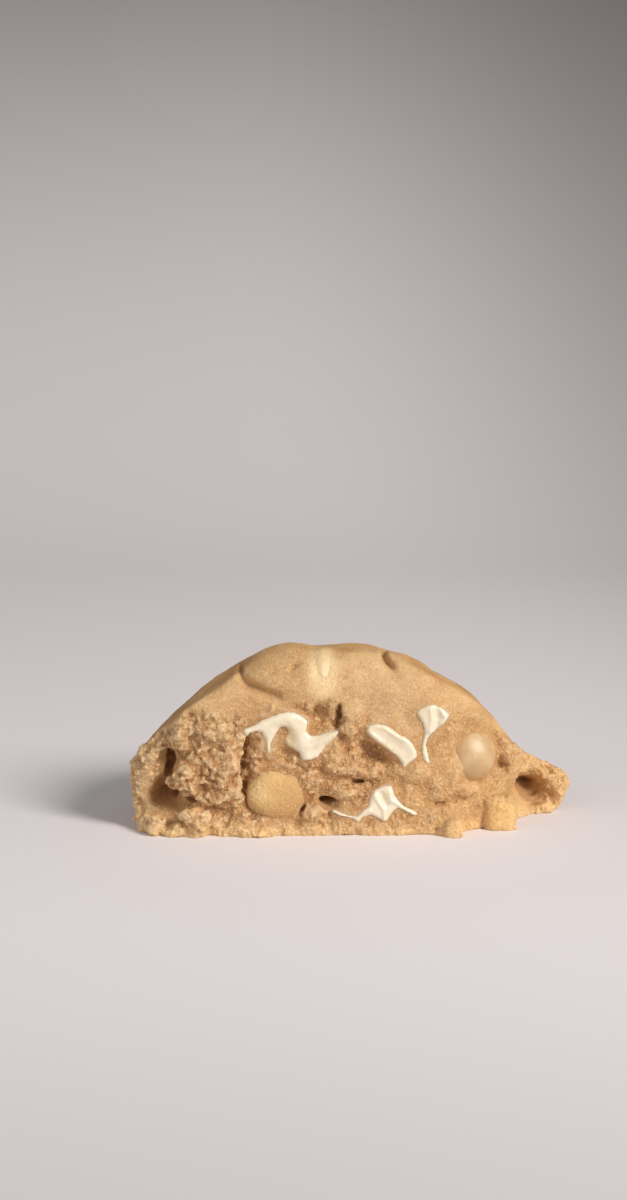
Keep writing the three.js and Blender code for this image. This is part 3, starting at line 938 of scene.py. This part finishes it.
def crumb_colour(dough):
    """Torn crumb: paler where it stands out, partly drier crumb and partly a painted highlight;
    painted shade in its hollows, pits and lobe cavity; paler to the right and below.
    """
    hollow, mottle, across = dough.hollow, dough.mottle, dough.across
    crumb = dough.blend(dough.broad.smooth(0.35, 0.65), (185, 135, 80), (170, 116, 62))
    # Paler where the crumb stands out: partly drier crumb, partly a painted highlight on the lumps
    proud = (hollow * -1.1 + mottle * 0.8).smooth(0.2, 0.9)
    crumb = dough.tinted(crumb, proud * (0.95 - across.smooth(-24, 6) * 0.35), 220, 185, 138)
    # Painted shade: the crumb darkens with how deep it lies in a hollow or pit, brown in shallow
    # hollows and nearly black in the deepest
    crumb = dough.tinted(crumb, hollow.smooth(0.1, 1.4) * 0.7, 126, 72, 32)
    crumb = dough.tinted(crumb, dough.pit.smooth(0.02, 0.25) * 0.45, 134, 82, 42)
    crumb = dough.tinted(crumb, hollow.smooth(0.7, 1.8) * 0.95, 66, 24, 2)
    crumb = dough.tinted(crumb, across.smooth(-20, 30) * 0.35, 222, 177, 118)
    low_edge = 0.7 - (dough.height + mottle * 3).smooth(2.0, 6.5) * 0.7
    crumb = dough.tinted(crumb, low_edge, 234, 192, 132)
    crumb = dough.tinted(crumb, across.smooth(34, 44) * 0.45, 226, 182, 124)
    crumb = dough.tinted(crumb, 0.35 - across.smooth(-49, -44) * 0.35, 228, 192, 144)
    # Painted shade: darker brown inside the lobe's cavity
    painted_shade_in_lobe = dough.spot((40.0, -20, 6.8), (0.75, 0.2, 1.1), 1.0, 4.2)
    crumb = dough.tinted(crumb, painted_shade_in_lobe * 0.55, 142, 84, 42)
    left_shoulder = dough.spot((-37.0, -26, 25.0), (0.5, 0.2, 1.2), 2.0, 6.0)
    crumb = dough.tinted(crumb, left_shoulder * mottle.smooth(0.35, 0.6) * 0.5, 228, 194, 146)
    over_the_kernel = dough.spot((24.6, -20, 18.6), (0.9, 0.3, 0.6), 1.0, 3.6)
    crumb = dough.tinted(crumb, over_the_kernel * 0.85, 212, 174, 126)
    golden_chunk = dough.spot((34.4, -20, 4.0), (0.9, 0.5, 0.8), 2.6, 4.4)
    return dough.tinted(crumb, golden_chunk * 0.75, 232, 188, 120)


def crust_colour(dough):
    """Baked crust: golden in front, browner over the top and back, brownest at the floor; painted
    highlights on its swells, painted shade in its hollows and on the left of the crown, and painted
    light on the right of the crown.
    """
    hollow, mottle, broad = dough.hollow, dough.mottle, dough.broad
    crust = dough.blend(broad.smooth(0.3, 0.7), (206, 166, 115), (193, 148, 96))
    crust = dough.tinted(crust, mottle.smooth(0.5, 0.75) * 0.5, 218, 182, 132)
    browned = dough.blend(broad.smooth(0.38, 0.62), (210, 158, 98), (184, 128, 70))
    browned = dough.tinted(browned, 1 - (dough.height + mottle * 2).smooth(2.0, 6.0), 168, 108, 54)
    crust = mixed(dough.tree, dough.baked * 0.8, crust, browned)
    # Painted highlight: the crust paler where it swells out
    proud = (hollow * -1 + mottle * 0.5).smooth(0.3, 0.8)
    crust = dough.tinted(crust, proud * 0.4, 226, 188, 134)
    # Painted shade: the crust darkens in its hollows and cracks
    crust = dough.tinted(crust, hollow.smooth(0.1, 0.8) * 0.8, 120, 72, 34)
    # Painted shade: the left of the crown darker, where the upper half shaded it and the light
    # falls away
    painted_shade_left_crown = dough.spot((-18.0, -26.0, 37.0), (1, 0.4, 1), 3.0, 12.0)
    crust = dough.tinted(crust, painted_shade_left_crown * 0.35, 188, 142, 90)
    # Painted light: the right of the crown paler, where the key light falls on it
    painted_light_right_crown = dough.spot((4.0, -26.0, 35.0), (1, 0.4, 1), 4.0, 13.0)
    crust = dough.tinted(crust, painted_light_right_crown * 0.22, 238, 205, 158)
    round_the_kernel = dough.spot((-7.2, -26.0, 38.0), (1, 0.4, 0.6), 1.0, 5.6)
    return dough.tinted(crust, round_the_kernel * (mottle * 0.6 + 0.6), 238, 208, 158)


def dough_material(name, translucency):
    """Baked crust and torn crumb, told apart by the values kept on the mesh."""
    made, tree, shader, place = new_material(name)
    dough = DoughSurface(tree, place)
    grain_height, grain_tone = sandy(tree, place)
    colour = mixed(tree, dough.torn, crust_colour(dough), crumb_colour(dough))
    colour = dough.tinted(colour, dough.loose * 0.22, 234, 200, 150)
    to_the_right = dough.across.smooth(0, 30)
    strength = dough.torn * 0.15 + 0.62 - dough.baked * 0.3 - to_the_right * 0.15
    pale_grain = grain_tone.smooth(0.5, 0.66)
    colour = dough.tinted(colour, pale_grain * strength * 0.45, 240, 214, 172)
    dark_grain = 1 - grain_tone.smooth(0.34, 0.48)
    colour = dough.tinted(colour, dark_grain * strength * 0.4, 146, 94, 50)
    feed(shader, "Base Color", colour)
    feed(shader, "Roughness", grain_tone.smooth(0.54, 0.64) * -0.3 + 0.75)
    lets_light_in(shader, translucency, (1.0, 0.6, 0.3), 1.4)
    bumped(tree, shader, grain_height - dough.pit * 0.2, 0.75, 0.3)
    return made


def sugar_material():
    made, tree, shader, place = new_material("sugar")
    colour = mixed(tree, speckle(tree, place, 0.5, 1), from_display(244, 232, 206),
                   from_display(228, 200, 156))
    feed(shader, "Base Color", colour)
    shader.inputs["Roughness"].default_value = 0.25
    return made


def kernel_material(name, pale, deep, roughness, grain, bare_place, film):
    """A macadamia's waxy surface, or a coat of crumb where the grain is high.

    Away from its one bare place a thin film of dough covers it.
    """
    made, tree, shader, place = new_material(name)
    broad = speckle(tree, place, 5, 2)
    grain_height, grain_tone = sandy(tree, place)
    colour = mixed(tree, broad.smooth(0.3, 0.7), from_display(*pale), from_display(*deep))
    sugared = grain_tone.smooth(0.5, 0.8) * grain * 0.6
    colour = mixed(tree, sugared, colour, from_display(238, 212, 166))
    bare = spot(tree, place, *bare_place)
    colour = mixed(tree, (bare + broad * 0.3).smooth(0.15, 1.0), from_display(*film), colour)
    feed(shader, "Base Color", colour)
    shader.inputs["Roughness"].default_value = roughness
    lets_light_in(shader, 0.3, (1.0, 0.7, 0.4), 2.0)
    bumped(tree, shader, grain_height, grain, 0.25)
    return made


# Each kernel's coat in millimetres, and its material: name, pale and deep colour, roughness,
# grain, the bare place (centre, squeeze, radius and rim of a spot) and the colour of the film
KERNELS = {
    "macadamia_left": (0.45, "kernel_coated", (224, 188, 128), (208, 164, 102), 0.6, 0.8,
                       ((-21.6, -26.0, 13.4), (1.0, 0.0, 1.0), 1.0, 10.0), (198, 154, 98)),
    "macadamia_right": (0.02, "kernel_waxy", (203, 171, 128), (190, 154, 108), 0.42, 0.12,
                        ((29.0, -26.0, 18.6), (1.0, 0.0, 0.8), 2.6, 6.6), (196, 150, 100)),
    "macadamia_crown": (0.02, "kernel_bright", (234, 214, 174), (226, 200, 155), 0.6, 0.5,
                        ((-6.8, -26.0, 38.8), (1.0, 0.0, 0.4), 0.0, 1.2), (228, 194, 144)),
}


def make_kernel(name, coat):
    """A kernel, with a granular coat this many millimetres thick."""
    kernel = copy_of(name)
    rename(kernel, name + "_kernel")
    rebuild(kernel, KERNEL_VOXEL, 12)
    displace(kernel, relief_texture("kernel dimples", 5.0), 0.6 + coat)
    hold_back(kernel, FLATTEST_KERNEL)
    displace(kernel, relief_texture("kernel coat", 0.55, "VORONOI_F1", 1), -coat)
    shade_smoothly(kernel)
    return kernel


def near_the_outline(kernel):
    """0 in the middle of a kernel as seen from the front and 1 at its outline."""
    places = on_the_face(kernel.data)[:, (0, 2)]
    half_sizes = np.ptp(places, axis=0) / 2
    middle = places.min(axis=0) + half_sizes
    return smooth_step(np.linalg.norm((places - middle) / half_sizes, axis=1), 0.65, 0.85)


def grains_on_rim(kernel, dough_surface):
    """Loose grains round the outline of a kernel, where the dough touches it."""
    beside_dough = 1 - clear_of(dough_surface, vertex_places(kernel.data), 0.1, 0.7)
    keep_value(kernel, "rim", near_the_outline(kernel) * beside_dough)
    return make_grains(kernel, "rim_grains", 0.24, 4.5, "rim", SEED + 23)


def chocolate_material():
    made, tree, shader, place = new_material("white_chocolate")
    broad = speckle(tree, place, 4, 2)
    colour = mixed(tree, broad.smooth(0.3, 0.7), from_display(233, 220, 196),
                   from_display(225, 209, 178))
    # Painted shade: the arch's deeper back layer darker, as if in the shade of the arm in front
    painted_shade_back_layer = spot(tree, place, (-15.0, -28.0, 22.9), (1.0, 0.0, 0.5), 0.9, 1.7)
    feed(shader, "Base Color", mixed(tree, painted_shade_back_layer, colour, from_display(216, 194, 150)))
    shader.inputs["Roughness"].default_value = 0.28
    lets_light_in(shader, 0.4, (1.0, 0.85, 0.6), 1.5)
    bumped(tree, shader, speckle(tree, place, 2.2, 3), 0.25, 0.3)
    return made


# Ridges and grooves of each smear: half width, height and a line of x, z places
SMEAR_STROKES = {
    "white_chocolate_arch": (
        (1.3, 0.4, ((-24.0, 25.2), (-20.8, 26.3), (-16.6, 27.9), (-14.9, 27.7), (-13.1, 25.4),
                    (-11.7, 22.1), (-11.0, 18.6))),
        (0.8, 0.3, ((-10.3, 21.4), (-8.2, 22.1), (-5.7, 23.9), (-3.5, 25.0))),
        (1.1, -0.4, ((-15.6, 24.6), (-14.8, 22.6), (-14.4, 21.0))),
    ),
    "white_chocolate_slab": (
        (1.3, -0.25, ((5.3, 24.8), (8.2, 22.9), (10.8, 20.6), (12.0, 19.6))),
        (0.5, 0.2, ((5.3, 26.1), (6.9, 25.7), (9.0, 24.0), (10.4, 23.3), (12.6, 22.3),
                    (13.8, 21.4))),
        (0.5, 0.2, ((3.5, 24.6), (7.1, 21.6), (10.1, 18.4))),
    ),
    "white_chocolate_square": (
        (0.5, 0.3, ((19.9, 29.8), (20.9, 27.9), (20.0, 26.6))),
        (0.7, -0.35, ((18.6, 30.0), (19.2, 27.6), (18.6, 25.6))),
        (0.6, 0.3, ((17.4, 30.0), (17.6, 27.6), (17.4, 24.8))),
    ),
    "white_chocolate_star": (
        (0.5, 0.35, ((4.3, 10.6), (5.4, 8.3), (6.8, 6.4), (6.9, 4.0))),
        (0.5, 0.3, ((8.0, 10.4), (8.4, 8.6), (10.5, 7.5), (13.8, 5.2))),
        (0.6, -0.4, ((6.0, 10.4), (6.8, 8.6), (7.4, 7.6))),
        (0.4, 0.3, ((3.5, 6.5), (1.0, 5.6), (-3.4, 5.1), (-8.0, 5.4))),
    ),
}


def round_the_front(smear, radius):
    """The front falls away towards the outline as on a drop, and thin tips lie lowest."""
    places = vertex_places(smear.data) / MM
    normals = vertex_normals(smear.data)
    sideways = np.flatnonzero(np.abs(normals[:, 1]) < 0.5)
    outline = KDTree(len(sideways))
    for index, vertex in enumerate(sideways):
        outline.insert((places[vertex, 0], 0, places[vertex, 2]), index)
    outline.balance()
    inwards = np.array([outline.find((x, 0, z))[2] for x, _, z in places])
    share = 1 - np.clip(inwards / radius, 0, 1)
    fall = radius * (1 - np.sqrt(1 - share ** 2))
    front = smooth_step(-normals[:, 1], -0.2, 0.3)
    places[:, 1] += fall * front
    set_places(smear.data, places * MM)


def make_smear(name):
    """A ragged smear that thins out towards its outline, with its ridges and grooves."""
    smear = copy_of(name)
    rename(smear, name + "_smear")
    rebuild(smear, SMEAR_VOXEL)
    facing = np.abs(vertex_normals(smear.data)[:, 1])
    paint_group(smear, "outline", 1 - smooth_step(facing, 0.3, 0.8))
    displace(smear, relief_texture("ragged smear", 1.1), 0.6, "outline")
    round_the_front(smear, 1.1)
    apply_modifier(smear, "SMOOTH", factor=0.5, iterations=2)
    for half_width, height, line in SMEAR_STROKES[name]:
        places = on_the_face(smear.data)
        front = smooth_step(-vertex_normals(smear.data)[:, 1], 0.0, 0.5)
        away = away_from(line, places[:, (0, 2)])[0]
        places[:, 1] -= height * np.exp(-(away / half_width) ** 2) * front
        set_on_the_face(smear.data, places)
    displace(smear, relief_texture("smear ripples", 2.2), 0.35)
    pressed_in = np.array((0, 0.3, 0)) * MM
    set_places(smear.data, vertex_places(smear.data) + pressed_in)
    apply_modifier(smear, "SMOOTH", factor=0.5, iterations=1)
    shade_smoothly(smear)
    return smear


def finish_piece(piece, slot, material, *nodes):
    """A piece in its finish, riding with the cookie in place of the solids that it stands for."""
    piece.data.materials.clear()
    piece.data.materials.append(material)
    for face in piece.data.polygons:
        face.material_index = 0
    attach(piece, "root")
    if nodes:
        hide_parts(*nodes)


def sweep_material():
    """Pale paper with painted shade: darker to the right, up the wall and towards the camera, as
    the light falls off.
    """
    made, tree, shader, place = new_material("sweep_paper_painted_shade")
    across, away, height = coordinates(tree, place)
    painted_shade_tone = from_display(80, 76, 75)
    to_the_right = (across + away * 0.1).smooth(0.02, 0.35)
    # Painted shade: the paper darkens to the right, up the wall and towards the camera
    colour = mixed(tree, to_the_right * 0.58, from_display(237, 230, 229), painted_shade_tone)
    colour = mixed(tree, height.smooth(-0.05, 0.45) * 0.82, colour, painted_shade_tone)
    colour = mixed(tree, (away * -1).smooth(0.08, 0.3) * 0.3, colour, painted_shade_tone)
    feed(shader, "Base Color", colour)
    shader.inputs["Roughness"].default_value = 0.9
    shader.inputs["Specular IOR Level"].default_value = 0.1
    return made


def make_stage():
    """A pale sweep: a floor that curves up into a backdrop far behind."""
    wall_distance = 1.2
    wall_height = 3
    bpy.ops.mesh.primitive_plane_add(size=16, location=(0, 0, 0))
    floor = bpy.context.object
    floor.name = "sweep"
    bpy.ops.object.mode_set(mode="EDIT")
    bpy.ops.mesh.select_all(action="DESELECT")
    bpy.ops.object.mode_set(mode="OBJECT")
    for vertex in floor.data.vertices:
        if vertex.co.y > 0:
            vertex.co.y = wall_distance
            vertex.select = True
    bpy.ops.object.mode_set(mode="EDIT")
    bpy.ops.mesh.select_mode(type="EDGE")
    bpy.ops.mesh.extrude_region_move(TRANSFORM_OT_translate={"value": (0, 0, wall_height)})
    bpy.ops.object.mode_set(mode="OBJECT")
    apply_modifier(floor, "BEVEL", width=0.8, segments=24, angle_limit=0.5)
    shade_smoothly(floor)
    floor.data.materials.append(sweep_material())


def area_light(name, place, aim, size, power, colour):
    bpy.ops.object.light_add(type="AREA", location=place)
    lamp = bpy.context.object
    lamp.name = name
    lamp.data.shape = "DISK"
    lamp.data.size = size
    lamp.data.energy = power
    lamp.data.color = colour
    lamp.rotation_euler = (Vector(aim) - Vector(place)).to_track_quat("-Z", "Y").to_euler()


def make_light():
    """A warm key light from the right, a weak wide fill from the left and a soft grey world."""
    cookie_middle = (0, 0, 0.02)
    area_light("key", (1.05, -0.95, 0.85), cookie_middle, 0.6, 27, (1.0, 0.975, 0.945))
    area_light("fill", (-1.2, -1.1, 0.6), cookie_middle, 1.6, 6.5, (0.98, 0.98, 1.0))
    world = bpy.data.worlds.new("studio")
    world.use_nodes = True
    background = world.node_tree.nodes["Background"]
    background.inputs["Color"].default_value = (0.8, 0.82, 0.85, 1)
    background.inputs["Strength"].default_value = 0.42
    bpy.context.scene.world = world
    bpy.context.scene.view_settings.view_transform = "Standard"
    bpy.context.scene.view_settings.look = "None"


make_camera()
make_stage()
make_light()

dough = make_dough()
loose = [make_grains(dough, "crumb_grains", 0.27, 5.6, "grainy", SEED + 11)]
sugar = make_grains(dough, "sugar_grains", 0.12, 0.16, "grainy", SEED + 17)
for kernel_name, (coat, *finish) in KERNELS.items():
    kernel = make_kernel(kernel_name, coat)
    if kernel_name == "macadamia_left":
        loose.append(grains_on_rim(kernel, search_tree(dough)))
    finish_piece(kernel, "macadamia", kernel_material(*finish), kernel_name)
finish_piece(dough, "dough", dough_material("dough", 0.5), "cookie")
finish_piece(joined(loose), "dough", dough_material("loose_crumb", 0.0))
finish_piece(sugar, "dough", sugar_material())
chocolate = chocolate_material()
for smear_name in SMEAR_STROKES:
    finish_piece(make_smear(smear_name), "white_chocolate", chocolate, smear_name)
